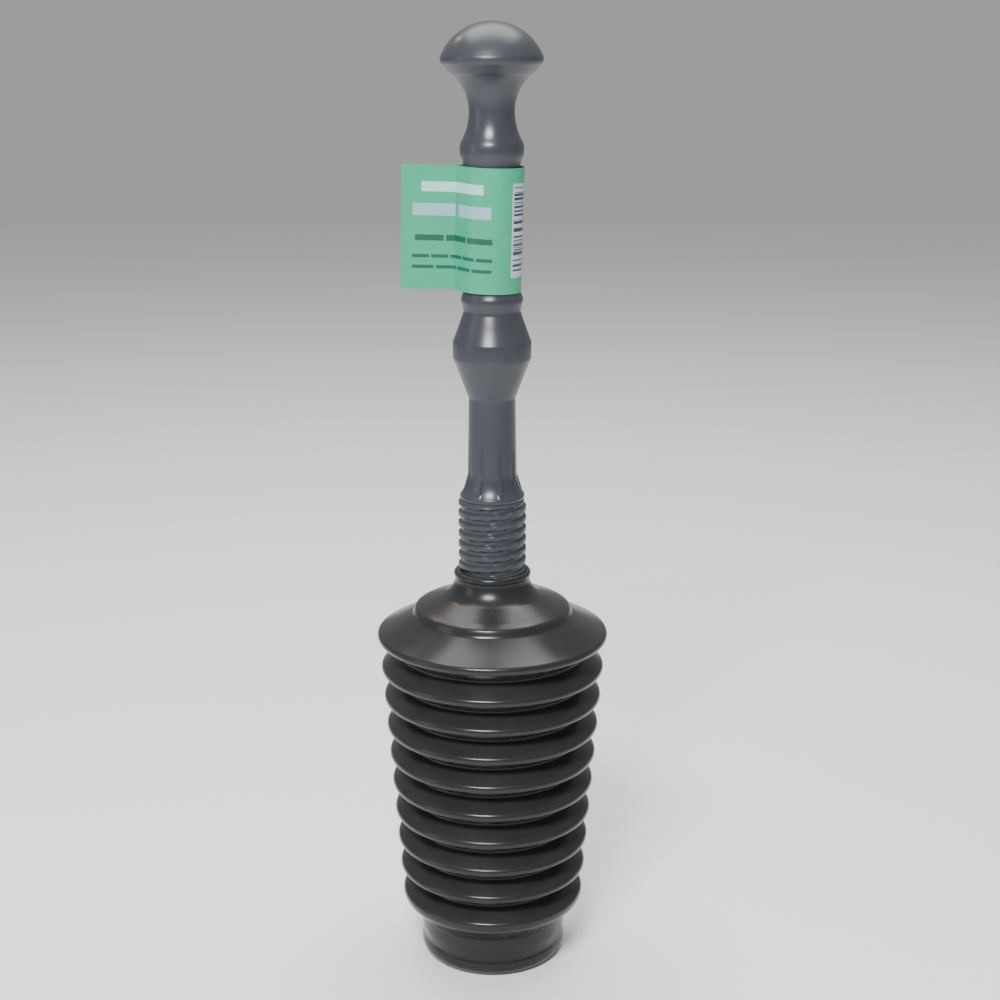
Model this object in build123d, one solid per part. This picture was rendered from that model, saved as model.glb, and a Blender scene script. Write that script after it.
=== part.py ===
from build123d import *
import math
import os

# Bellows toilet plunger: a hollow handle screwed into a soft bellows with an open nose.
# Millimetres, +Z up. The origin is the centre of the nose's bottom face, on the object's axis.
# The front is -Y, and the label's flag points along -X.

# Bellows
WALL = 2.0                # thickness of the bellows moulding
RIB_COUNT = 9
TOP_RIB_RADIUS = 67.6     # outer radius of rib 1, the highest
BOTTOM_RIB_RADIUS = 56.3  # outer radius of rib 9, the lowest
TOP_RIB_Z = 190.0
BOTTOM_RIB_Z = 41.0
SHOULDER_RADIUS = 69.8
SHOULDER_Z = 210.4
GROOVE_DEPTH = 11.0       # from the crests on either side to the groove's bottom
CREST_ROUND = 3.0         # outer radius of each crest
GROOVE_ROUND = 1.2        # outer radius of each groove

# Nose
NOSE_RADIUS = 44.8
NOSE_TOP_Z = 25.0         # where the nose meets rib 9
NOSE_WALL_BOTTOM_Z = 18.0  # where the nose's wall starts to draw in to the groove
NOSE_ROUND = 7.0          # roll-in of the nose's lower edge
NOSE_GROOVE_ROUND = 3.0   # outer radius of the groove above that edge
NOSE_BEAD_ANGLE = 28.0    # normal of the surface where the edge meets the groove
NOSE_TAPER_ANGLE = 11.0   # slope of the wall down into the groove
MOUTH_RADIUS = 35.5
LAST_FLANK_ANGLE = -54.0  # normal of the wall between rib 9 and the nose
LAST_CREST_ROUND = 7.4    # rib 9 is rounder below its crest than above it

# Dome and neck
OUTER_PLATE_RADIUS = 48.6  # inner edge of the outer plate
OUTER_PLATE_Z = 223.2
INNER_PLATE_RADIUS = 47.0  # rim of the inner plate
INNER_PLATE_Z = 227.2
INNER_BREAK_RADIUS = 43.0  # where the inner plate starts to fall more steeply
INNER_BREAK_Z = 229.8
STEP_EDGE = (46.3, 227.9)  # half-way along the rounded edge of the inner plate
STEP_TOP = (45.2, 228.6)
FILLET_END = (30.0, 235.0)  # where the inner dome starts to curve up to the neck
FILLET_MIDDLE = (25.2, 239.2)
UNDER_FILLET = [(25.0, 236.2), (27.2, 234.4), (29.6, 232.9)]  # inside of that curve
UNDER_FILLET_TOP_Z = 234.6
NECK_RADIUS = 22.6
NECK_BEAD_RADIUS = 23.2
NECK_TOP_Z = 251.0
NECK_TOP_RADIUS = 21.6    # outer edge of the neck's flat top
SOCKET_BOTTOM_Z = 226.0
SOCKET_OUTER_RADIUS = 22.4

# Screw thread, right-handed, single start
THREAD_PITCH = 6.4
THREAD_CREST = 20.3
THREAD_ROOT = 18.4
THREAD_BASE = 2.3         # half the ridge's width at the root
THREAD_TIP = 1.5          # half the ridge's width where its crest starts to round over
THREAD_ROUND = 0.6        # height of the rounded crest
THREAD_SINK = 0.4         # how far the ridge's base is sunk into the core
CLEARANCE = 0.45          # between the male and the female thread

# Handle
HANDLE_BOTTOM_Z = 216.0
THREAD_TOP_Z = 296.0
COLLAR_RADIUS = 19.2
COLLAR_Z = 297.8
COLLAR_FILLET = (15.9, 303.6)  # half-way along the curve from the collar to the shaft
SHAFT_RADIUS = 14.5
SHAFT_BOTTOM_Z = 311.0
SHAFT_TOP_RADIUS = 13.75
SHAFT_TOP_Z = 356.6
BELT_RADIUS = 22.9
BELT_BOTTOM_Z = 379.6
BELT_TOP_Z = 390.0
NECKING_RADIUS = 16.6
NECKING_Z = 407.6
RING_RADIUS = 17.9
RING_BOTTOM_Z = 411.6
RING_TOP_Z = 416.6
BARREL_RADIUS = 16.2
BARREL_BOTTOM_Z = 419.6
BARREL_TOP_Z = 490.6
BULB_RADIUS = 18.35
BULB_Z = 499.4
BULB_START = (16.9, 493.6)
BULB_END = (17.5, 503.7)
WAIST_RADIUS = 13.0
WAIST_Z = 520.5
WAIST_LOWER_ROUND = 34.0
WAIST_LOWER_ANGLE = 209.4  # where the waist's lower curve starts, about its centre
WAIST_UPPER_ROUND = 25.8
WAIST_UPPER_ANGLE = 124.0  # where its upper curve ends
KNOB_RADIUS = 29.1
KNOB_RIM_Z = 549.4
KNOB_TOP_Z = 569.5
KNOB_DOME_ROUND = 31.4
KNOB_UNDERSIDE = (27.0, 545.3)
KNOB_EDGE_ANGLE = 25.0    # where the knob's edge meets its dome
HANDLE_WALL = 2.4
KNOB_HOLLOW = [(14.4, 537.0), (24.0, 546.8)]  # inside of the knob's underside
KNOB_HOLLOW_EDGE = [(25.6, 548.0), (26.4, 549.4)]

FLUTE_COUNT = 8
FLUTE_WIDTH = 2.6
FLUTE_TURN = 17.0         # angle of the first flute from the front, towards +X
FLUTE_TOP_Z = 310.0

# Label
CARD = 0.35
LABEL_RADIUS = 17.8       # outside of the wrapped band
LABEL_HEIGHT = 70.7
LABEL_Z = 454.6
LABEL_LENGTH = 52.0       # from the axis to the flag's free end
PINCH = 21.0              # from the axis to where the two leaves meet
LABEL_TILT = 1.4
ADHESIVE = 0.2
ADHESIVE_MARGIN = 1.5

rib_pitch = (TOP_RIB_Z - BOTTOM_RIB_Z) / (RIB_COUNT - 1)
rib_taper = (TOP_RIB_RADIUS - BOTTOM_RIB_RADIUS) / (RIB_COUNT - 1)


def polar(centre, radius, angle):
    """The (r, z) point at an angle, in degrees, on a circle about an (r, z) centre."""
    turn = math.radians(angle)
    return (centre[0] + radius * math.cos(turn), centre[1] + radius * math.sin(turn))


def bend(centre, radius, start, end):
    """An arc for an outline, as its first, middle and last (r, z) points."""
    return [polar(centre, radius, angle) for angle in (start, (start + end) / 2, end)]


def closed_face(pieces, place):
    """A face bounded by points and three-point arcs in order, joined by straight lines."""
    stops = [piece if isinstance(piece, list) else [piece] for piece in pieces]
    edges = []
    for stop, following in zip(stops, stops[1:] + stops[:1]):
        if len(stop) == 3:
            edges.append(ThreePointArc(*[place(point) for point in stop]))
        gap = place(following[0]) - place(stop[-1])
        if gap.length > 1e-6:
            edges.append(Line(place(stop[-1]), place(following[0])))
    return make_face(edges)


def upright(point):
    return Vector(point[0], 0, point[1])


def flat(point):
    return Vector(point[0], point[1], 0)


def spin(pieces):
    """A solid of revolution about Z from an outline of (r, z) points and arcs."""
    return revolve(closed_face(pieces, upright), Axis.Z)


def crest(number):
    """The (radius, z) of a rib's crest. Number 0 is the shoulder."""
    if number == 0:
        return (SHOULDER_RADIUS, SHOULDER_Z)
    steps = number - 1
    return (TOP_RIB_RADIUS - rib_taper * steps, TOP_RIB_Z - rib_pitch * steps)


def crest_centre(number):
    radius, z = crest(number)
    return (radius - CREST_ROUND, z)


def groove_centre(number):
    """Centre of the arc at the bottom of the groove between a crest and the next one down."""
    upper = crest(number)
    lower = crest(number + 1)
    radius = (upper[0] + lower[0]) / 2 - GROOVE_DEPTH + GROOVE_ROUND
    return (radius, (upper[1] + lower[1]) / 2)


def flank_angle(crest_at, groove_at):
    """Direction of the normal of the straight wall that is tangent to a crest and a groove."""
    across = groove_at[0] - crest_at[0]
    up = groove_at[1] - crest_at[1]
    bearing = math.degrees(math.atan2(up, across))
    half = math.degrees(math.acos((CREST_ROUND + GROOVE_ROUND) / math.hypot(across, up)))
    return bearing - half if up > 0 else bearing + half


def rib_outline(number):
    """Wall of one rib, cut level at the bottoms of the grooves above and below it."""
    middle = crest_centre(number)
    above = groove_centre(number - 1)
    below = groove_centre(number)
    top = flank_angle(middle, above)
    bottom = flank_angle(middle, below)
    return [
        bend(above, GROOVE_ROUND, 180, 180 + top),
        bend(middle, CREST_ROUND, top, bottom),
        bend(below, GROOVE_ROUND, 180 + bottom, 180),
        bend(below, GROOVE_ROUND + WALL, 180, 180 + bottom),
        bend(middle, CREST_ROUND - WALL, bottom, top),
        bend(above, GROOVE_ROUND + WALL, 180 + top, 180),
    ]


def last_rib_outline():
    """Wall of rib 9, whose lower side curves in to the top of the nose."""
    radius, z = crest(RIB_COUNT)
    middle = crest_centre(RIB_COUNT)
    above = groove_centre(RIB_COUNT - 1)
    top = flank_angle(middle, above)
    lower_middle = (radius - LAST_CREST_ROUND, z)
    corner = (NOSE_RADIUS + GROOVE_ROUND, NOSE_TOP_Z)
    return [
        bend(above, GROOVE_ROUND, 180, 180 + top),
        bend(middle, CREST_ROUND, top, 0),
        bend(lower_middle, LAST_CREST_ROUND, 0, LAST_FLANK_ANGLE),
        bend(corner, GROOVE_ROUND, 180 + LAST_FLANK_ANGLE, 180),
        bend(corner, GROOVE_ROUND + WALL, 180, 180 + LAST_FLANK_ANGLE),
        bend(lower_middle, LAST_CREST_ROUND - WALL, LAST_FLANK_ANGLE, 0),
        bend(middle, CREST_ROUND - WALL, 0, top),
        bend(above, GROOVE_ROUND + WALL, 180 + top, 180),
    ]


def nose_outline():
    """The spigot that goes into the drain, with a groove and a rolled bead around its mouth."""
    roll = (NOSE_RADIUS - NOSE_ROUND, NOSE_ROUND)
    groove = polar(roll, NOSE_ROUND + NOSE_GROOVE_ROUND, NOSE_BEAD_ANGLE)
    groove_top = 180 - NOSE_TAPER_ANGLE
    groove_foot = 180 + NOSE_BEAD_ANGLE
    return [
        (NOSE_RADIUS, NOSE_TOP_Z),
        (NOSE_RADIUS, NOSE_WALL_BOTTOM_Z),
        bend(groove, NOSE_GROOVE_ROUND, groove_top, groove_foot),
        bend(roll, NOSE_ROUND, NOSE_BEAD_ANGLE, -90),
        (MOUTH_RADIUS, 0),
        (MOUTH_RADIUS, WALL),
        bend(roll, NOSE_ROUND - WALL, -90, NOSE_BEAD_ANGLE),
        bend(groove, NOSE_GROOVE_ROUND + WALL, groove_foot, groove_top),
        (NOSE_RADIUS - WALL, NOSE_WALL_BOTTOM_Z),
        (NOSE_RADIUS - WALL, NOSE_TOP_Z),
    ]


def shoulder_outline():
    """Shoulder, two stepped plates, and the neck with its bead and its plain bore."""
    middle = crest_centre(0)
    below = groove_centre(0)
    bottom = flank_angle(middle, below)
    bore = THREAD_ROOT + CLEARANCE
    fall = SHOULDER_RADIUS - OUTER_PLATE_RADIUS
    rise = OUTER_PLATE_Z - SHOULDER_Z - CREST_ROUND / 2
    plate_normal = 90 - math.degrees(math.atan2(rise, fall))
    bead_foot = (NECK_RADIUS, NECK_TOP_Z - 4)
    bead = (NECK_BEAD_RADIUS, NECK_TOP_Z - 2.4)
    return [
        bend(below, GROOVE_ROUND, 180, 180 + bottom),
        bend(middle, CREST_ROUND, bottom, plate_normal),
        (OUTER_PLATE_RADIUS, OUTER_PLATE_Z),
        (INNER_PLATE_RADIUS + 0.7, INNER_PLATE_Z - 1.6),
        [(INNER_PLATE_RADIUS, INNER_PLATE_Z - 0.2), STEP_EDGE, STEP_TOP],
        (INNER_BREAK_RADIUS, INNER_BREAK_Z),
        [FILLET_END, FILLET_MIDDLE, (NECK_RADIUS, NECK_TOP_Z - 6.4)],
        (NECK_RADIUS, NECK_TOP_Z - 4.2),
        [bead_foot, bead, (NECK_TOP_RADIUS, NECK_TOP_Z)],
        (bore, NECK_TOP_Z),
        (bore, SOCKET_BOTTOM_Z),
        (SOCKET_OUTER_RADIUS, SOCKET_BOTTOM_Z),
        (SOCKET_OUTER_RADIUS, UNDER_FILLET_TOP_Z),
        UNDER_FILLET,
        (INNER_BREAK_RADIUS - 1, INNER_BREAK_Z - 2.1),
        (INNER_PLATE_RADIUS - 1.6, INNER_PLATE_Z - 3.2),
        (OUTER_PLATE_RADIUS - 1.4, OUTER_PLATE_Z - 1.6),
        bend(middle, CREST_ROUND - WALL, plate_normal, bottom),
        bend(below, GROOVE_ROUND + WALL, 180 + bottom, 180),
    ]


def helical_ridge(low, high, gap):
    """A ridge wound right-handed from z low to z high, grown all round by a gap."""
    base = THREAD_ROOT - THREAD_SINK + gap
    side = THREAD_CREST - THREAD_ROUND + gap
    widening = THREAD_SINK * (THREAD_BASE - THREAD_TIP) / (side - gap - THREAD_ROOT)
    profile = [
        (base, low + THREAD_BASE + widening + gap),
        (base, low - THREAD_BASE - widening - gap),
        [
            (side, low - THREAD_TIP - gap),
            (THREAD_CREST + gap, low),
            (side, low + THREAD_TIP + gap),
        ],
    ]
    path = Helix(THREAD_PITCH, high - low, THREAD_ROOT, center=(0, 0, low))
    return sweep(closed_face(profile, upright), path=path, is_frenet=True)


def make_shoulder():
    """The neck's female thread lies a whole number of turns below the top of the handle's."""
    turns = math.ceil((THREAD_TOP_Z - SOCKET_BOTTOM_Z) / THREAD_PITCH) + 1
    low = THREAD_TOP_Z - turns * THREAD_PITCH
    high = NECK_TOP_Z + THREAD_PITCH
    length = high - low
    core = Pos(0, 0, low + length / 2) * Cylinder(THREAD_ROOT + CLEARANCE, length)
    return spin(shoulder_outline()) - (core + helical_ridge(low, high, CLEARANCE))


def soft_edge(radius, z, before, after, reach):
    """An arc through an edge, from one height to another and with a change of radius each way."""
    return [(radius + before, z - reach), (radius, z), (radius + after, z + reach)]


def handle_outline():
    """Outer surface of the handle without its thread and flutes, from the bottom up."""
    knob_centre = (0, KNOB_TOP_Z - KNOB_DOME_ROUND)
    waist_low = (WAIST_RADIUS + WAIST_LOWER_ROUND, WAIST_Z)
    waist_high = (WAIST_RADIUS + WAIST_UPPER_ROUND, WAIST_Z)
    chamfer = 1.6
    ring_half = (RING_TOP_Z - RING_BOTTOM_Z) / 2
    return [
        (0, HANDLE_BOTTOM_Z),
        (THREAD_ROOT - chamfer, HANDLE_BOTTOM_Z),
        (THREAD_ROOT, HANDLE_BOTTOM_Z + chamfer),
        (THREAD_ROOT, THREAD_TOP_Z - 0.6),
        (COLLAR_RADIUS, THREAD_TOP_Z + 0.2),
        [(COLLAR_RADIUS, COLLAR_Z), COLLAR_FILLET, (SHAFT_RADIUS, SHAFT_BOTTOM_Z)],
        (SHAFT_TOP_RADIUS, SHAFT_TOP_Z),
        soft_edge(BELT_RADIUS - 0.1, BELT_BOTTOM_Z, -0.5, 0.1, 1),
        soft_edge(BELT_RADIUS - 0.2, BELT_TOP_Z, 0.2, -0.5, 1),
        soft_edge(NECKING_RADIUS, NECKING_Z, 0.3, 0.4, 1.4),
        soft_edge(RING_RADIUS + 0.1, RING_BOTTOM_Z + ring_half, -0.6, -0.6, ring_half),
        (BARREL_RADIUS, BARREL_BOTTOM_Z),
        (BARREL_RADIUS, BARREL_TOP_Z),
        [BULB_START, (BULB_RADIUS, BULB_Z), BULB_END],
        bend(waist_low, WAIST_LOWER_ROUND, WAIST_LOWER_ANGLE, 180),
        bend(waist_high, WAIST_UPPER_ROUND, 180, WAIST_UPPER_ANGLE),
        [
            KNOB_UNDERSIDE,
            (KNOB_RADIUS, KNOB_RIM_Z),
            polar(knob_centre, KNOB_DOME_ROUND, KNOB_EDGE_ANGLE),
        ],
        bend(knob_centre, KNOB_DOME_ROUND, KNOB_EDGE_ANGLE, 90),
    ]


def cavity_outline():
    """The sealed hollow inside the handle, one wall thickness in from its outer surface."""
    inner_core = THREAD_ROOT - HANDLE_WALL
    inner_shaft = SHAFT_RADIUS - HANDLE_WALL
    inner_knob = KNOB_DOME_ROUND - HANDLE_WALL
    knob_centre = (0, KNOB_TOP_Z - KNOB_DOME_ROUND)
    return [
        (0, HANDLE_BOTTOM_Z + HANDLE_WALL),
        (inner_core, HANDLE_BOTTOM_Z + HANDLE_WALL),
        (inner_core, COLLAR_Z - HANDLE_WALL),
        (inner_shaft, SHAFT_BOTTOM_Z),
        (SHAFT_TOP_RADIUS - HANDLE_WALL, SHAFT_TOP_Z),
        (BELT_RADIUS - HANDLE_WALL, BELT_BOTTOM_Z + 1),
        (BELT_RADIUS - HANDLE_WALL, BELT_TOP_Z - 1),
        (NECKING_RADIUS - HANDLE_WALL, NECKING_Z),
        (BARREL_RADIUS - HANDLE_WALL, BARREL_BOTTOM_Z),
        (BARREL_RADIUS - HANDLE_WALL, BARREL_TOP_Z),
        (BULB_RADIUS - HANDLE_WALL, BULB_Z),
        (WAIST_RADIUS - HANDLE_WALL, WAIST_Z),
        [(WAIST_RADIUS - HANDLE_WALL, WAIST_Z + 4)] + KNOB_HOLLOW,
        KNOB_HOLLOW_EDGE + [polar(knob_centre, inner_knob, KNOB_EDGE_ANGLE)],
        bend(knob_centre, inner_knob, KNOB_EDGE_ANGLE, 90),
    ]


def flute(turn):
    """One small upright web between the shaft and the collar."""
    side = [
        (SHAFT_RADIUS - 2, FLUTE_TOP_Z + 1),
        (SHAFT_RADIUS, FLUTE_TOP_Z + 1),
        (SHAFT_RADIUS + 0.7, FLUTE_TOP_Z - 1),
        (COLLAR_RADIUS - 0.3, COLLAR_Z + 0.4),
        (COLLAR_RADIUS - 0.3, COLLAR_Z - 1),
        (SHAFT_RADIUS - 2, COLLAR_Z - 1),
    ]
    web = extrude(closed_face(side, upright), FLUTE_WIDTH / 2, both=True)
    return Rot(0, 0, turn) * web


def make_handle():
    solid = spin(handle_outline())
    turns = math.floor((THREAD_TOP_Z - HANDLE_BOTTOM_Z - THREAD_BASE) / THREAD_PITCH)
    low = THREAD_TOP_Z - turns * THREAD_PITCH
    solid += helical_ridge(low, THREAD_TOP_Z - THREAD_BASE, 0)
    front = -90 + FLUTE_TURN
    for number in range(FLUTE_COUNT):
        solid += flute(front + number * 360 / FLUTE_COUNT)
    return solid - spin(cavity_outline())


def tangent_point(start, radius, side):
    """Where a straight leaf from start touches a circle about the axis. Side is +1 or -1 in Y."""
    reach = math.hypot(*start)
    bearing = math.atan2(start[1], start[0])
    turn = bearing - side * math.acos(radius / reach)
    return (radius * math.cos(turn), radius * math.sin(turn))


def label_outline():
    """Plan of the card: a band round the barrel whose two ends meet and run on as a flag."""
    inner = ADHESIVE / 2
    outer = inner + CARD
    hollow = LABEL_RADIUS - CARD
    pieces = []
    for face, radius in ((outer, LABEL_RADIUS), (inner, hollow)):
        front = tangent_point((-PINCH, -face), radius, -1)
        back = tangent_point((-PINCH, face), radius, 1)
        run = [
            (-LABEL_LENGTH, -face),
            (-PINCH, -face),
            [front, (radius, 0), back],
            (-PINCH, face),
            (-LABEL_LENGTH, face),
        ]
        if face == inner:
            run = [stop[::-1] if isinstance(stop, list) else stop for stop in reversed(run)]
        pieces += run
    return pieces


def place_label(shape):
    """Stands a flat plan up round the barrel, centred on the label's height and tilted."""
    return Pos(0, 0, LABEL_Z) * Rot(0, LABEL_TILT, 0) * Pos(0, 0, -LABEL_HEIGHT / 2) * shape


def make_label():
    return place_label(extrude(closed_face(label_outline(), flat), LABEL_HEIGHT))


def make_adhesive():
    """The strip between the flag's two leaves."""
    near = PINCH + ADHESIVE_MARGIN
    far = LABEL_LENGTH - ADHESIVE_MARGIN
    height = LABEL_HEIGHT - 2 * ADHESIVE_MARGIN
    strip = Pos(-(near + far) / 2, 0, LABEL_HEIGHT / 2) * Box(far - near, ADHESIVE, height)
    return place_label(strip)


nodes = {
    "handle": make_handle(),
    "label_card": make_label(),
    "label_adhesive": make_adhesive(),
    "bellows_shoulder": make_shoulder(),
    "bellows_nose": spin(nose_outline()),
}
for number in range(1, RIB_COUNT):
    nodes[f"bellows_rib_{number}"] = spin(rib_outline(number))
nodes[f"bellows_rib_{RIB_COUNT}"] = spin(last_rib_outline())

os.makedirs("parts", exist_ok=True)
for name, shape in nodes.items():
    export_step(shape, f"parts/{name}.step")
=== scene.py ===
import math
import bpy
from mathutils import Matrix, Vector


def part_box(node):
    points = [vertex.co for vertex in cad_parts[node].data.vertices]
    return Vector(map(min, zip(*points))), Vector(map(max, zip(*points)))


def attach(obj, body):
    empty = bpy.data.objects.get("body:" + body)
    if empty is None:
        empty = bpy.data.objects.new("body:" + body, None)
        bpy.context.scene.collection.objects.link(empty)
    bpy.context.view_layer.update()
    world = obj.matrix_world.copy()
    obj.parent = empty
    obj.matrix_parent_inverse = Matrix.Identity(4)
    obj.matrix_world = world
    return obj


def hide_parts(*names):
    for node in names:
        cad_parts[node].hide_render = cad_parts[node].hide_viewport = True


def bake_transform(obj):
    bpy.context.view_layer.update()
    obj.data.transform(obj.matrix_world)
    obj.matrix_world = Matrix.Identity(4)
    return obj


# Bellows toilet plunger: a screw-in handle, a bellows and a wrapped card label.
# Lengths in the shape constants are millimetres. Meshes, lights and the camera are in metres.

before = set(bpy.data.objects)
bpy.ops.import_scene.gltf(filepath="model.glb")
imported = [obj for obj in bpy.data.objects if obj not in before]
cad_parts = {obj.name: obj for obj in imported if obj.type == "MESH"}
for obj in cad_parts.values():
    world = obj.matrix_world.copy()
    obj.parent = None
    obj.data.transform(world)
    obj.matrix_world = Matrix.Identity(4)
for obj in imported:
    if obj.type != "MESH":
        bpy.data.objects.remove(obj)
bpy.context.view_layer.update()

MM = 0.001
RIB_COUNT = 9
WALL = 2.0
CREST_ROUND = 3.0
GROOVE_ROUND = 1.2
GROOVE_DEPTH = 11.0
NOSE_GROOVE_ROUND = 3.0
THREAD_PITCH = 6.4
THREAD_CREST = 20.3
THREAD_ROOT = 18.4
THREAD_BASE = 2.3
THREAD_TIP = 1.1
THREAD_TOP_Z = 296.0
CLEARANCE = 0.45
SOCKET_DEPTH = 25
NECK_RADIUS = 22.6
PLATE_NORMAL = 62.0
PLAIN_FOOT_Z = 220
FLUTE_COUNT = 8
FLUTE_TURN = 17.0
FLUTE_HALF_WIDTH = 1.3
FLUTE_BOTTOM_Z = 298.0
FLUTE_TOP_Z = 311.0
WEB_RADIUS = 15.2
WEB_TOP_Z = 309.5
WEB_SPREAD = 3.7
WEB_HEIGHT = 11.5
GRIP_RADIUS = 16.2
WAIST_Z = 520.5
KNOB_RADIUS = 31.4
KNOB_EDGE_ANGLE = 25
CARD_OUTSIDE = (0.45, 17.8)
CARD_INSIDE = (0.10, 17.45)
CARD_HEIGHT = 70.7
CARD_TILT = 1.4
CARD_ROWS = 24
CARD_STEPS = 72
FLAG_LENGTH = 52.0
FLAG_PINCH = 21.0
TURN_STEPS = 192
SAME_POINT = 0.02
SMOOTH_ANGLE = 40

# The label's rows of print: blocks, left, right, top, bottom, filled share of each block's pitch, tint.
# They are measured along the card from the flag's free end and down from its top edge.
PRINT_ROWS = [
    (1, 11.5, 54.5, 9.4, 15.0, 1.0, "pale"),
    (2, 6.5, 62.5, 21.6, 28.6, 0.88, "lilac"),
    (3, 8.0, 61.5, 39.4, 42.8, 0.93, "ink"),
    (5, 6.5, 61.5, 50.6, 52.6, 0.9, "ink"),
    (4, 6.5, 61.5, 56.8, 58.8, 0.9, "ink"),
]
STRIPE_PANEL = (72.0, 85.5, 8.5, 61.5)
PRINT_STRENGTH = 0.85

# Name, place, target, size, power and colour.
WARM = (1.0, 0.74, 0.46)
WHITE = (1, 1, 1)
LIGHTS = [
    ("key_panel", (-0.26, -1.15, 1.35), (0, 0, 0.35), (0.5, 0.26), 38, WHITE),
    ("left_fill", (-1.5, -0.5, 0.7), (0, 0, 0.3), (0.6, 1.0), 3, WHITE),
    ("overhead", (0.0, 0.35, 1.9), (0, 0, 0.2), (1.6, 0.7), 22, WHITE),
    ("rear_ceiling", (0.0, 1.1, 2.0), (0, 0, 0.3), (1.8, 0.6), 16, WHITE),
    ("lamp_right", (0.59, 0.61, 1.79), (0, 0, 0.2), (0.07, 0.07), 1.4, WARM),
    ("lamp_left", (-0.83, 0.96, 1.49), (0, 0, 0.2), (0.07, 0.07), 1.4, WARM),
]
WORLD_STRENGTH = 0.38
FLOOR_SIZE = 4.0
CAMERA_LENS = 62.64
CAMERA_PLACE = (0.0046, -1.0, 0.571)
CAMERA_TILT = 74.5


# Places, read from the frame

def node_box(node):
    """Lowest and highest corners of a CAD node, in millimetres."""
    low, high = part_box(node)
    return Vector(low) / MM, Vector(high) / MM


rib_boxes = {number: node_box(f"bellows_rib_{number}") for number in range(1, RIB_COUNT + 1)}
shoulder_low, shoulder_high = node_box("bellows_shoulder")
nose_low, nose_high = node_box("bellows_nose")
handle_low, handle_high = node_box("handle")
label_low, label_high = node_box("label_card")
rib_pitch = rib_boxes[2][1].z - rib_boxes[2][0].z
neck_top = shoulder_high.z
knob_top = handle_high.z


def crest(number):
    """The (radius, z) of a rib's crest. Number 0 is the shoulder."""
    if number == 0:
        return (shoulder_high.x, 2 * rib_boxes[1][1].z - crest(1)[1])
    low, high = rib_boxes[number]
    z = high.z - rib_pitch / 2 if number == RIB_COUNT else low.z + rib_pitch / 2
    return (high.x, z)


# Outlines, as lists of (radius, z) points

def polar(centre, radius, angle):
    """The point at a radius and an angle, in degrees, from a centre."""
    turn = math.radians(angle)
    return (centre[0] + radius * math.cos(turn), centre[1] + radius * math.sin(turn))


def bend(centre, radius, start, end, steps=9):
    """Points along an arc from one angle to another, in degrees."""
    return [polar(centre, radius, start + (end - start) * k / (steps - 1)) for k in range(steps)]


def through(first, middle, last, steps=9):
    """Points along the arc through three points."""
    ax, ay, bx, by, cx, cy = *first, *middle, *last
    d = 2 * (ax * (by - cy) + bx * (cy - ay) + cx * (ay - by))
    a2, b2, c2 = ax * ax + ay * ay, bx * bx + by * by, cx * cx + cy * cy
    ux = (a2 * (by - cy) + b2 * (cy - ay) + c2 * (ay - by)) / d
    uy = (a2 * (cx - bx) + b2 * (ax - cx) + c2 * (bx - ax)) / d
    start = math.degrees(math.atan2(ay - uy, ax - ux))
    end = math.degrees(math.atan2(cy - uy, cx - ux))
    span = (end - start + 180) % 360 - 180
    return bend((ux, uy), math.hypot(ax - ux, ay - uy), start, start + span, steps)


def crest_centre(number):
    radius, z = crest(number)
    return (radius - CREST_ROUND, z)


def groove_centre(number):
    upper, lower = crest(number), crest(number + 1)
    radius = (upper[0] + lower[0]) / 2 - GROOVE_DEPTH + GROOVE_ROUND
    return (radius, (upper[1] + lower[1]) / 2)


def flank_angle(crest_at, groove_at):
    """Direction of the normal of the straight wall that is tangent to a crest and a groove."""
    across = groove_at[0] - crest_at[0]
    up = groove_at[1] - crest_at[1]
    bearing = math.degrees(math.atan2(up, across))
    half = math.degrees(math.acos((CREST_ROUND + GROOVE_ROUND) / math.hypot(across, up)))
    return bearing - half if up > 0 else bearing + half


def rib_side(number, inward):
    """One face of a rib's wall from its upper groove to its lower groove."""
    middle, above, below = crest_centre(number), groove_centre(number - 1), groove_centre(number)
    top, bottom = flank_angle(middle, above), flank_angle(middle, below)
    return (
        bend(above, GROOVE_ROUND + inward, 180, 180 + top)
        + bend(middle, CREST_ROUND - inward, top, bottom, 13)
        + bend(below, GROOVE_ROUND + inward, 180 + bottom, 180)
    )


def ribs_outline(first, last):
    outer, inner = [], []
    for number in range(first, last + 1):
        outer += rib_side(number, 0)
        inner += rib_side(number, WALL)
    return outer + inner[::-1]


def last_rib_outline():
    """Rib 9, whose lower side curves in to the top of the nose."""
    radius, z = crest(RIB_COUNT)
    middle, above = crest_centre(RIB_COUNT), groove_centre(RIB_COUNT - 1)
    top = flank_angle(middle, above)
    lower_round, lower_angle = 7.4, -54.0
    lower_middle = (radius - lower_round, z)
    corner = (nose_high.x + GROOVE_ROUND, nose_high.z)

    def side(inward):
        return (
            bend(above, GROOVE_ROUND + inward, 180, 180 + top)
            + bend(middle, CREST_ROUND - inward, top, 0)
            + bend(lower_middle, lower_round - inward, 0, lower_angle)
            + bend(corner, GROOVE_ROUND + inward, 180 + lower_angle, 180)
        )

    return side(0) + side(WALL)[::-1]


def nose_outline():
    """The nose's wall, with a groove and a rolled bead around its mouth."""
    round_over, mouth, bead_angle, taper = 7.0, 35.5, 28.0, 11.0
    roll = (nose_high.x - round_over, round_over)
    groove = polar(roll, round_over + NOSE_GROOVE_ROUND, bead_angle)
    sweep = (180 - taper, 180 + bead_angle)
    wall_end = [(0, 18.8), (0.04, 18.0), (0.18, 17.2)]

    def wall(inward):
        radius = nose_high.x - inward
        return (
            [(radius, nose_high.z)]
            + [(radius - step, z) for step, z in wall_end]
            + bend(groove, NOSE_GROOVE_ROUND + inward, *sweep)
            + bend(roll, round_over - inward, bead_angle, -90, 15)
        )

    return wall(0) + [(mouth, 0), (mouth, WALL)] + wall(WALL)[::-1]


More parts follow.
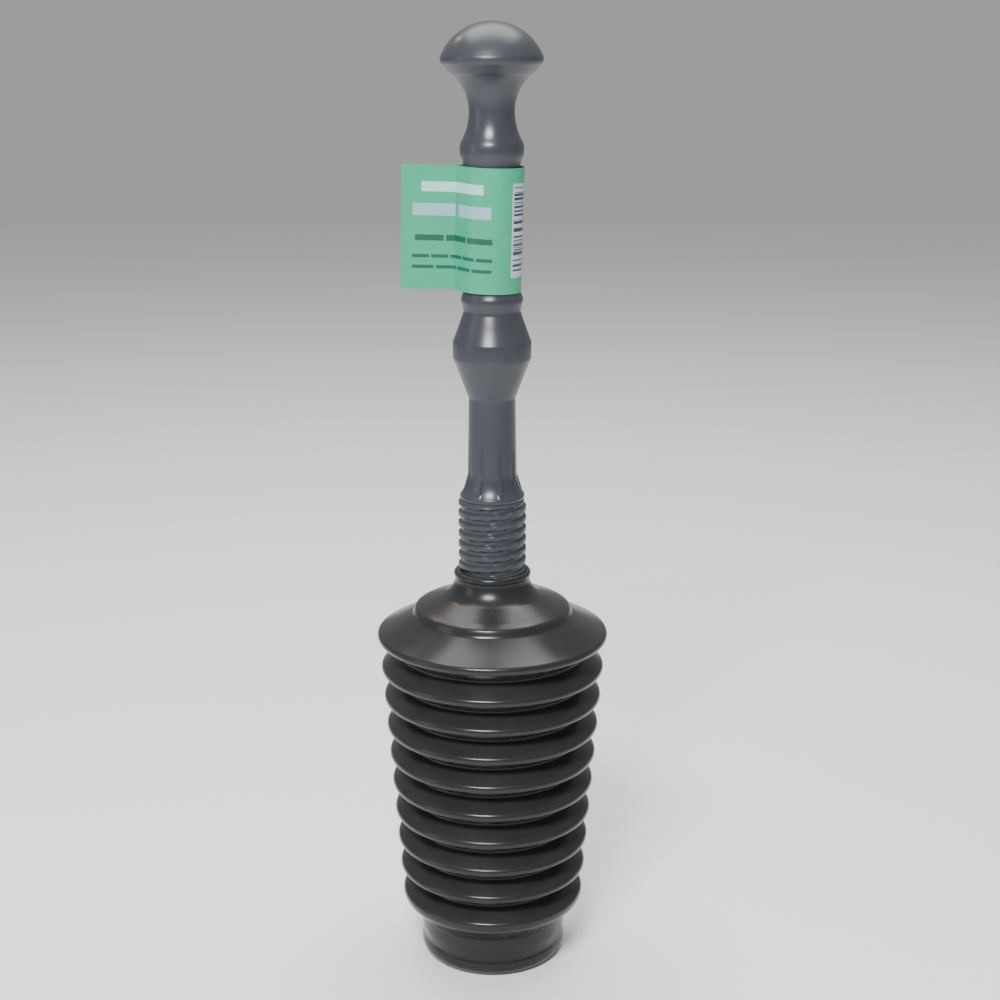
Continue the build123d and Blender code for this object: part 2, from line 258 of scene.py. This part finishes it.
def shoulder_outline():
    """Shoulder, stepped plates and neck, then down the bore and back out underneath."""
    middle, below = crest_centre(0), groove_centre(0)
    bottom = flank_angle(middle, below)
    bore = THREAD_ROOT + CLEARANCE
    bore_steps = 60
    socket_bottom = neck_top - SOCKET_DEPTH

    step_foot = [(48.9, 223.1), (48.3, 223.7), (47.7, 225.4)]
    step_top = through((47.0, 227.0), (46.3, 227.9), (45.2, 228.6), 7)
    inner_plate = [(43.0, 229.8), (41.8, 230.3)]
    neck_sweep = through((30.0, 235.0), (25.2, 239.2), (NECK_RADIUS, neck_top - 6.4), 15)
    neck_wall = [(NECK_RADIUS, neck_top - 4.3)]
    neck_roll = through((NECK_RADIUS, neck_top - 4), (23.2, neck_top - 2.4), (21.6, neck_top), 9)
    outer = (
        bend(below, GROOVE_ROUND, 180, 180 + bottom)
        + bend(middle, CREST_ROUND, bottom, PLATE_NORMAL, 13)
        + step_foot + step_top + inner_plate + neck_sweep + neck_wall + neck_roll
    )

    fall = (neck_top - socket_bottom) / bore_steps
    inside = [(bore, neck_top - fall * k) for k in range(bore_steps + 1)]

    socket_wall = [(22.4, socket_bottom), (22.4, 234.6)]
    under_dome = through((25.0, 236.2), (27.2, 234.4), (29.6, 232.9))
    under_step = [(42.0, 227.7), (45.4, 224.0), (47.2, 221.6)]
    under = (
        socket_wall + under_dome + under_step
        + bend(middle, CREST_ROUND - WALL, PLATE_NORMAL, bottom)
        + bend(below, GROOVE_ROUND + WALL, 180 + bottom, 180)
    )
    return outer + inside + under


def handle_outline():
    """Outer surface of the handle from its foot to the top of its knob."""
    knob = (0, knob_top - KNOB_RADIUS)
    foot_z = handle_low.z
    foot = [(0.01, foot_z), (15.0, foot_z), (THREAD_ROOT - 1.6, foot_z)]
    thread = [(THREAD_ROOT, foot_z + 1.6 + 0.5 * k) for k in range(156)]
    thread_end = [(19.0, 295.9), (19.2, 296.4)]
    fluted_sweep = through((19.2, 297.8), (15.9, 303.6), (14.5, 311.0), 27)
    shaft = [(14.2, 330.0), (13.75, 355.4)]
    shaft_top = through((13.8, 356.2), (13.95, 356.9), (14.3, 357.6), 4)
    lower_cone = [(18.2, 368.0)]
    belt_bottom = through((22.2, 378.4), (22.7, 379.6), (22.9, 380.8), 5)
    belt_top = through((22.95, 389.0), (22.75, 390.1), (22.2, 391.2), 5)
    upper_cone = [(19.2, 399.6)]
    groove = through((17.0, 405.9), (16.6, 407.5), (16.9, 409.2), 7)
    ring = through((17.4, 411.6), (18.0, 414.0), (17.4, 416.6), 9)
    grip = [(GRIP_RADIUS, 419.6), (GRIP_RADIUS, 455.0), (GRIP_RADIUS, 490.6)]
    bulb = through((16.9, 493.6), (18.35, 499.4), (17.5, 503.7), 11)
    lower_waist = bend((47.0, WAIST_Z), 34.0, 209.4, 180, 13)[1:]
    upper_waist = bend((38.8, WAIST_Z), 25.8, 180, 124, 17)[1:]
    knob_edge = through((27.0, 545.3), (29.1, 549.4), polar(knob, KNOB_RADIUS, KNOB_EDGE_ANGLE), 11)
    knob_dome = bend(knob, KNOB_RADIUS, KNOB_EDGE_ANGLE, 89.9, 25)[1:]
    return (
        foot + thread + thread_end + fluted_sweep + shaft + shaft_top
        + lower_cone + belt_bottom + belt_top + upper_cone + groove + ring
        + grip + bulb + lower_waist + upper_waist + knob_edge + knob_dome
    )


# Shapes added to the turned outlines

def ramp(value, low, high):
    """Eased step from 0 at low to 1 at high."""
    t = min(max((value - low) / (high - low), 0.0), 1.0)
    return t * t * (3 - 2 * t)


def ridge_height(z, turn, gap):
    """Height of the right-handed thread above its root at a height and an angle."""
    phase = ((z - THREAD_TOP_Z) / THREAD_PITCH - turn / math.tau) % 1.0
    away = min(phase, 1 - phase) * THREAD_PITCH
    return (THREAD_CREST - THREAD_ROOT) * ramp(THREAD_BASE + gap - away, 0, THREAD_BASE - THREAD_TIP)


def handle_relief(radius, z, turn):
    """The handle's radius with its thread and flutes."""
    if radius < THREAD_ROOT - 0.1 and z < PLAIN_FOOT_Z:
        return radius
    if z < THREAD_TOP_Z:
        run_out = ramp(THREAD_TOP_Z - 0.4 - z, 0, 2.2)
        lead_in = ramp(z - handle_low.z, 0.4, 2.4)
        return radius + ridge_height(z, turn, 0) * (run_out * lead_in)
    if FLUTE_BOTTOM_Z < z < FLUTE_TOP_Z:
        pitch = math.tau / FLUTE_COUNT
        from_front = (turn + math.pi / 2 - math.radians(FLUTE_TURN) + pitch / 2) % pitch - pitch / 2
        side = abs(from_front) * radius
        web = WEB_RADIUS + (WEB_TOP_Z - z) * WEB_SPREAD / WEB_HEIGHT
        return radius + max(web - radius, 0) * ramp(FLUTE_HALF_WIDTH + 0.3 - side, 0, 0.7)
    return radius


def neck_relief(radius, z, turn):
    """The shoulder's radius with the female thread cut into its bore."""
    if abs(radius - THREAD_ROOT - CLEARANCE) < 0.01:
        return radius + ridge_height(z, turn, CLEARANCE)
    return radius


def lathe(name, outline, closed=True, relief=None):
    """Turns an outline of (radius, z) points about the axis into a smooth mesh, without repeated points."""
    vertices, faces = [], []
    before = outline[-1:] + outline[:-1]
    outline = [point for point, last in zip(outline, before) if math.dist(point, last) > SAME_POINT]
    for radius, z in outline:
        for k in range(TURN_STEPS):
            turn = math.tau * k / TURN_STEPS
            reach = relief(radius, z, turn) if relief else radius
            vertices.append((reach * math.cos(turn) * MM, reach * math.sin(turn) * MM, z * MM))
    rows = len(outline)
    for row in range(rows if closed else rows - 1):
        a = row * TURN_STEPS
        b = (row + 1) % rows * TURN_STEPS
        for k in range(TURN_STEPS):
            n = (k + 1) % TURN_STEPS
            faces.append((a + k, b + k, b + n, a + n))
    if not closed:
        faces.append(tuple(range(TURN_STEPS)))
        faces.append(tuple(reversed(range((rows - 1) * TURN_STEPS, rows * TURN_STEPS))))
    return finish_mesh(name, vertices, faces)


def finish_mesh(name, vertices, faces):
    """A new object with its normals turned outward and its sharp edges kept."""
    mesh = bpy.data.meshes.new(name)
    mesh.from_pydata(vertices, [], faces)
    mesh.validate()
    mesh.update()
    piece = bpy.data.objects.new(name, mesh)
    bpy.context.scene.collection.objects.link(piece)
    bpy.context.view_layer.objects.active = piece
    bpy.ops.object.select_all(action="DESELECT")
    piece.select_set(True)
    bpy.ops.object.mode_set(mode="EDIT")
    bpy.ops.mesh.select_all(action="SELECT")
    bpy.ops.mesh.normals_make_consistent(inside=False)
    bpy.ops.object.mode_set(mode="OBJECT")
    bpy.ops.object.shade_smooth_by_angle(angle=math.radians(SMOOTH_ANGLE))
    return piece


# Node tree helpers

class Tree:
    """A material's node tree with a Principled shader and short calls to add to it."""

    def __init__(self, name):
        self.material = bpy.data.materials.new(name)
        self.material.use_nodes = True
        self.nodes = self.material.node_tree.nodes
        self.links = self.material.node_tree.links
        self.shader = self.nodes["Principled BSDF"]
        self.place = self.add("ShaderNodeTexCoord").outputs["Object"]

    def add(self, kind, inputs=(), **settings):
        node = self.nodes.new(kind)
        for key, value in settings.items():
            setattr(node, key, value)
        for key, value in dict(inputs).items():
            self.put(node.inputs[key], value)
        return node

    def put(self, socket, value):
        if isinstance(value, bpy.types.NodeSocket):
            self.links.new(value, socket)
        else:
            socket.default_value = value

    def split(self, vector):
        """The x, y and z outputs of a vector."""
        return self.add("ShaderNodeSeparateXYZ", {0: vector}).outputs

    def maths(self, operation, *values):
        node = self.add("ShaderNodeMath", dict(enumerate(values)), operation=operation)
        return node.outputs[0]

    def spread(self, value, low, high, out_low, out_high):
        names = ("Value", "From Min", "From Max", "To Min", "To Max")
        node = self.add("ShaderNodeMapRange", zip(names, (value, low, high, out_low, out_high)))
        return node.outputs[0]

    def noise(self, scale, detail=3.0, stretch=(1, 1, 1)):
        mapped = self.add("ShaderNodeMapping", {"Vector": self.place, "Scale": stretch}).outputs[0]
        inputs = {"Vector": mapped, "Scale": scale, "Detail": detail}
        return self.add("ShaderNodeTexNoise", inputs).outputs[0]

    def mix(self, factor, first, second):
        node = self.add("ShaderNodeMix", data_type="RGBA")
        self.put(node.inputs[0], factor)
        self.put(node.inputs[6], first)
        self.put(node.inputs[7], second)
        return node.outputs[2]

    def bump(self, height, distance, strength=1.0, normal=None):
        inputs = {"Height": height, "Distance": distance, "Strength": strength}
        node = self.add("ShaderNodeBump", inputs)
        if normal is not None:
            self.put(node.inputs["Normal"], normal)
        return node.outputs[0]

    def finish(self, colour, roughness, normal=None, **settings):
        self.put(self.shader.inputs["Base Color"], colour)
        self.put(self.shader.inputs["Roughness"], roughness)
        if normal is not None:
            self.put(self.shader.inputs["Normal"], normal)
        for key, value in settings.items():
            self.shader.inputs[key.replace("_", " ")].default_value = value
        return self.material


def rgb(red, green, blue):
    """A linear colour with full alpha."""
    return (red, green, blue, 1.0)


def moulded_plastic(name, colour, dull, roughness, dust, gloss):
    """Blow-moulded polyethylene: a faint orange-peel skin, hairline scuffs, a mould line and dust."""
    tree = Tree(name)
    cloud = tree.noise(14, 4)
    base = tree.mix(tree.spread(cloud, 0.35, 0.7, 0, 1), colour, dull)
    facing_up = tree.split(tree.add("ShaderNodeNewGeometry").outputs["Normal"])[2]
    settled = tree.maths("MULTIPLY", tree.spread(facing_up, 0.2, 1.0, 0, dust), tree.noise(60, 6))
    base = tree.mix(settled, base, rgb(0.32, 0.31, 0.30))
    scuffs = tree.spread(tree.noise(300, 3, (1, 1, 0.3)), 0.66, 0.78, 0, 1)
    smears = tree.spread(tree.noise(22, 5), 0.3, 0.75, -0.05, 0.09)
    rough = tree.maths("ADD", tree.maths("MULTIPLY_ADD", scuffs, 0.06, smears), roughness)
    across = tree.split(tree.place)[1]
    mould_line = tree.spread(tree.maths("ABSOLUTE", across), 0.0001, 0.0005, 1, 0)
    skin = tree.maths("MULTIPLY_ADD", mould_line, 0.5, tree.noise(650, 2))
    waves = tree.bump(tree.noise(30, 1), 0.0005, 0.10)
    normal = tree.bump(skin, 0.00004, 0.25, waves)
    return tree.finish(base, rough, normal, Specular_IOR_Level=gloss)


def printed_card():
    """Green card with plain blocks and bars where a real label has its printing."""
    tree = Tree("label_print")
    uv = tree.add("ShaderNodeUVMap", uv_map="sheet").outputs[0]
    sheet = tree.split(uv)
    ragged = tree.spread(tree.noise(900, 2), 0.3, 0.7, -0.12, 0.12)
    along = tree.maths("ADD", sheet[0], ragged)
    down = tree.maths("ADD", sheet[1], ragged)
    green = tree.mix(tree.noise(180, 5), rgb(0.022, 0.285, 0.155), rgb(0.034, 0.345, 0.20))

    def inside(value, low, high):
        above, below = tree.maths("GREATER_THAN", value, low), tree.maths("LESS_THAN", value, high)
        return tree.maths("MULTIPLY", above, below)

    def block(left, right, top, bottom):
        return tree.maths("MULTIPLY", inside(along, left, right), inside(down, top, bottom))

    tints = {"pale": rgb(0.40, 0.68, 0.62), "lilac": rgb(0.28, 0.44, 0.50), "ink": rgb(0.004, 0.05, 0.035)}
    panel_colour, stripe_colour = rgb(0.42, 0.47, 0.56), rgb(0.03, 0.03, 0.06)
    colour = green
    for count, left, right, top, bottom, fill, tint in PRINT_ROWS:
        pitch = (right - left) / count
        beat = tree.maths("FRACT", tree.maths("DIVIDE", tree.maths("SUBTRACT", along, left), pitch))
        row = tree.maths("MULTIPLY", block(left, right, top, bottom), tree.maths("LESS_THAN", beat, fill))
        colour = tree.mix(tree.maths("MULTIPLY", row, PRINT_STRENGTH), colour, tints[tint])
    left, right, top, bottom = STRIPE_PANEL
    colour = tree.mix(block(left, right, top, bottom), colour, panel_colour)
    stripes = tree.add(
        "ShaderNodeTexNoise",
        {"W": tree.maths("MULTIPLY", down, 0.45), "Detail": 3.0, "Scale": 1.0},
        noise_dimensions="1D",
    )
    dark = tree.maths("GREATER_THAN", stripes.outputs[0], 0.5)
    panel = block(left + 1.2, right - 1.2, top + 2, bottom - 2)
    colour = tree.mix(tree.maths("MULTIPLY", panel, dark), colour, stripe_colour)
    fibres = tree.noise(1400, 4)
    creases = tree.noise(30, 3, (1, 1, 0.4))
    normal = tree.bump(fibres, 0.00008, 0.3, tree.bump(creases, 0.0012, 0.35))
    rough = tree.spread(tree.noise(50, 3), 0.3, 0.7, 0.30, 0.42)
    return tree.finish(colour, rough, normal, Specular_IOR_Level=0.5)


# Label

def label_path(face, radius):
    """Plan of one side of the card, from the front leaf's free end round to the back leaf's.

    face is the leaf's distance from the flag's middle plane, and radius is the band's.
    """
    leaf_steps, run_steps = 20, 6
    reach = math.hypot(FLAG_PINCH, face)
    swing = math.acos(radius / reach)
    front = math.atan2(-face, -FLAG_PINCH) + swing
    back = math.atan2(face, -FLAG_PINCH) - swing
    if back < front:
        back += math.tau
    leaf = [
        (-FLAG_LENGTH + (FLAG_LENGTH - FLAG_PINCH) * k / leaf_steps, -face)
        for k in range(leaf_steps + 1)
    ]
    first = (radius * math.cos(front), radius * math.sin(front))
    run = [
        (-FLAG_PINCH + (first[0] + FLAG_PINCH) * k / run_steps, -face + (first[1] + face) * k / run_steps)
        for k in range(1, run_steps)
    ]
    band = [front + (back - front) * k / CARD_STEPS for k in range(CARD_STEPS + 1)]
    round_part = [(radius * math.cos(turn), radius * math.sin(turn)) for turn in band]
    far_leaf = [(x, -y) for x, y in reversed(run)] + [(x, -y) for x, y in reversed(leaf)]
    return leaf + run + round_part + far_leaf


def make_label():
    """A thin card, wrapped round the barrel, with its two ends together as a flag."""
    tilt = math.radians(CARD_TILT)
    middle = (label_low.z + label_high.z) / 2 - 0.4
    outer = label_path(*CARD_OUTSIDE)
    inner = label_path(*CARD_INSIDE)
    distance = [0.0]
    for (ax, ay), (bx, by) in zip(outer, outer[1:]):
        distance.append(distance[-1] + math.hypot(bx - ax, by - ay))
    vertices, faces, sheet = [], [], []
    for path in (outer, inner):
        for row in range(CARD_ROWS + 1):
            down = CARD_HEIGHT * row / CARD_ROWS
            for x, y in path:
                level = CARD_HEIGHT / 2 - down
                along = x * math.cos(tilt) + level * math.sin(tilt)
                up = level * math.cos(tilt) - x * math.sin(tilt)
                vertices.append((along * MM, y * MM, (middle + up) * MM))
            sheet += [(length, down) for length in distance]
    columns = len(outer)
    layer = columns * (CARD_ROWS + 1)
    for row in range(CARD_ROWS):
        for k in range(columns - 1):
            a = row * columns + k
            faces.append((a, a + columns, a + columns + 1, a + 1))
            faces.append((layer + a, layer + a + 1, layer + a + columns + 1, layer + a + columns))
    for k in range(columns - 1):
        end = CARD_ROWS * columns + k
        faces.append((k, k + 1, layer + k + 1, layer + k))
        faces.append((end, layer + end, layer + end + 1, end + 1))
    for row in range(CARD_ROWS):
        for k in (row * columns, row * columns + columns - 1):
            faces.append((k, layer + k, layer + k + columns, k + columns))
    label = finish_mesh("label", vertices, faces)
    uv = label.data.uv_layers.new(name="sheet")
    for loop in label.data.loops:
        uv.data[loop.index].uv = sheet[loop.vertex_index]
    return label


# Pieces

def wear(piece, material):
    """Gives a piece its one material and the slot it belongs to."""
    piece.data.materials.clear()
    piece.data.materials.append(material)


handle_material = moulded_plastic(
    "handle_plastic", rgb(0.034, 0.038, 0.047), rgb(0.028, 0.032, 0.040),
    roughness=0.31, dust=0.05, gloss=0.42,
)
bellows_material = moulded_plastic(
    "bellows_plastic", rgb(0.0150, 0.0158, 0.0178), rgb(0.0122, 0.0129, 0.0146),
    roughness=0.22, dust=0.05, gloss=0.32,
)

handle = lathe("handle_moulding", handle_outline(), False, handle_relief)
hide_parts("handle")
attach(handle, "handle")
wear(handle, handle_material)

shoulder = lathe("shoulder_moulding", shoulder_outline(), True, neck_relief)
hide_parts("bellows_shoulder")
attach(shoulder, "shoulder")
wear(shoulder, bellows_material)

nose = lathe("nose_moulding", nose_outline())
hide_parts("bellows_nose")
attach(nose, "nose")
wear(nose, bellows_material)

upper_folds = lathe("upper_folds", ribs_outline(1, RIB_COUNT - 2))
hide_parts(*[f"bellows_rib_{number}" for number in range(1, RIB_COUNT - 1)])
wear(upper_folds, bellows_material)
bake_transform(upper_folds)

middle_fold = lathe("middle_fold", ribs_outline(RIB_COUNT - 1, RIB_COUNT - 1))
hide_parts(f"bellows_rib_{RIB_COUNT - 1}")
wear(middle_fold, bellows_material)
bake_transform(middle_fold)

lowest_fold = lathe("lowest_fold", last_rib_outline())
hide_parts(f"bellows_rib_{RIB_COUNT}")
wear(lowest_fold, bellows_material)
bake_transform(lowest_fold)

label = make_label()
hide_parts("label_card")
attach(label, "label")
wear(label, printed_card())

strip = Tree("adhesive_strip")
strip_colour = strip.mix(strip.noise(300, 3), rgb(0.72, 0.68, 0.56), rgb(0.6, 0.56, 0.45))
strip.finish(strip_colour, strip.spread(strip.noise(120, 2), 0.3, 0.7, 0.4, 0.6))
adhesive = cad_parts["label_adhesive"]
adhesive.data.materials.clear()
adhesive.data.materials.append(strip.material)


# Stage

def make_floor():
    size = FLOOR_SIZE
    corners = [(-size, -size, 0), (size, -size, 0), (size, size, 0), (-size, size, 0)]
    floor = finish_mesh("floor", corners, [(0, 1, 2, 3)])
    paper = Tree("floor_paper")
    tone = paper.mix(paper.noise(3, 2), rgb(0.93, 0.93, 0.93), rgb(0.9, 0.9, 0.9))
    floor.data.materials.append(paper.finish(tone, 0.9))


def area_light(name, place, target, size, power, colour):
    """A rectangular light, turned to face its target."""
    data = bpy.data.lights.new(name, "AREA")
    data.shape = "RECTANGLE"
    data.size, data.size_y = size
    data.energy = power
    data.color = colour
    light = bpy.data.objects.new(name, data)
    light.location = place
    light.rotation_euler = (Vector(target) - Vector(place)).to_track_quat("-Z", "Y").to_euler()
    bpy.context.scene.collection.objects.link(light)


make_floor()
for light in LIGHTS:
    area_light(*light)

world = bpy.data.worlds.new("studio")
world.use_nodes = True
world.node_tree.nodes["Background"].inputs[0].default_value = (1, 1, 1, 1)
world.node_tree.nodes["Background"].inputs[1].default_value = WORLD_STRENGTH
bpy.context.scene.world = world

camera_data = bpy.data.cameras.new("camera")
camera_data.lens = CAMERA_LENS
camera_data.sensor_width = 36
camera = bpy.data.objects.new("camera", camera_data)
camera.location = CAMERA_PLACE
camera.rotation_euler = (math.radians(CAMERA_TILT), 0, 0)
bpy.context.scene.collection.objects.link(camera)
bpy.context.scene.camera = camera
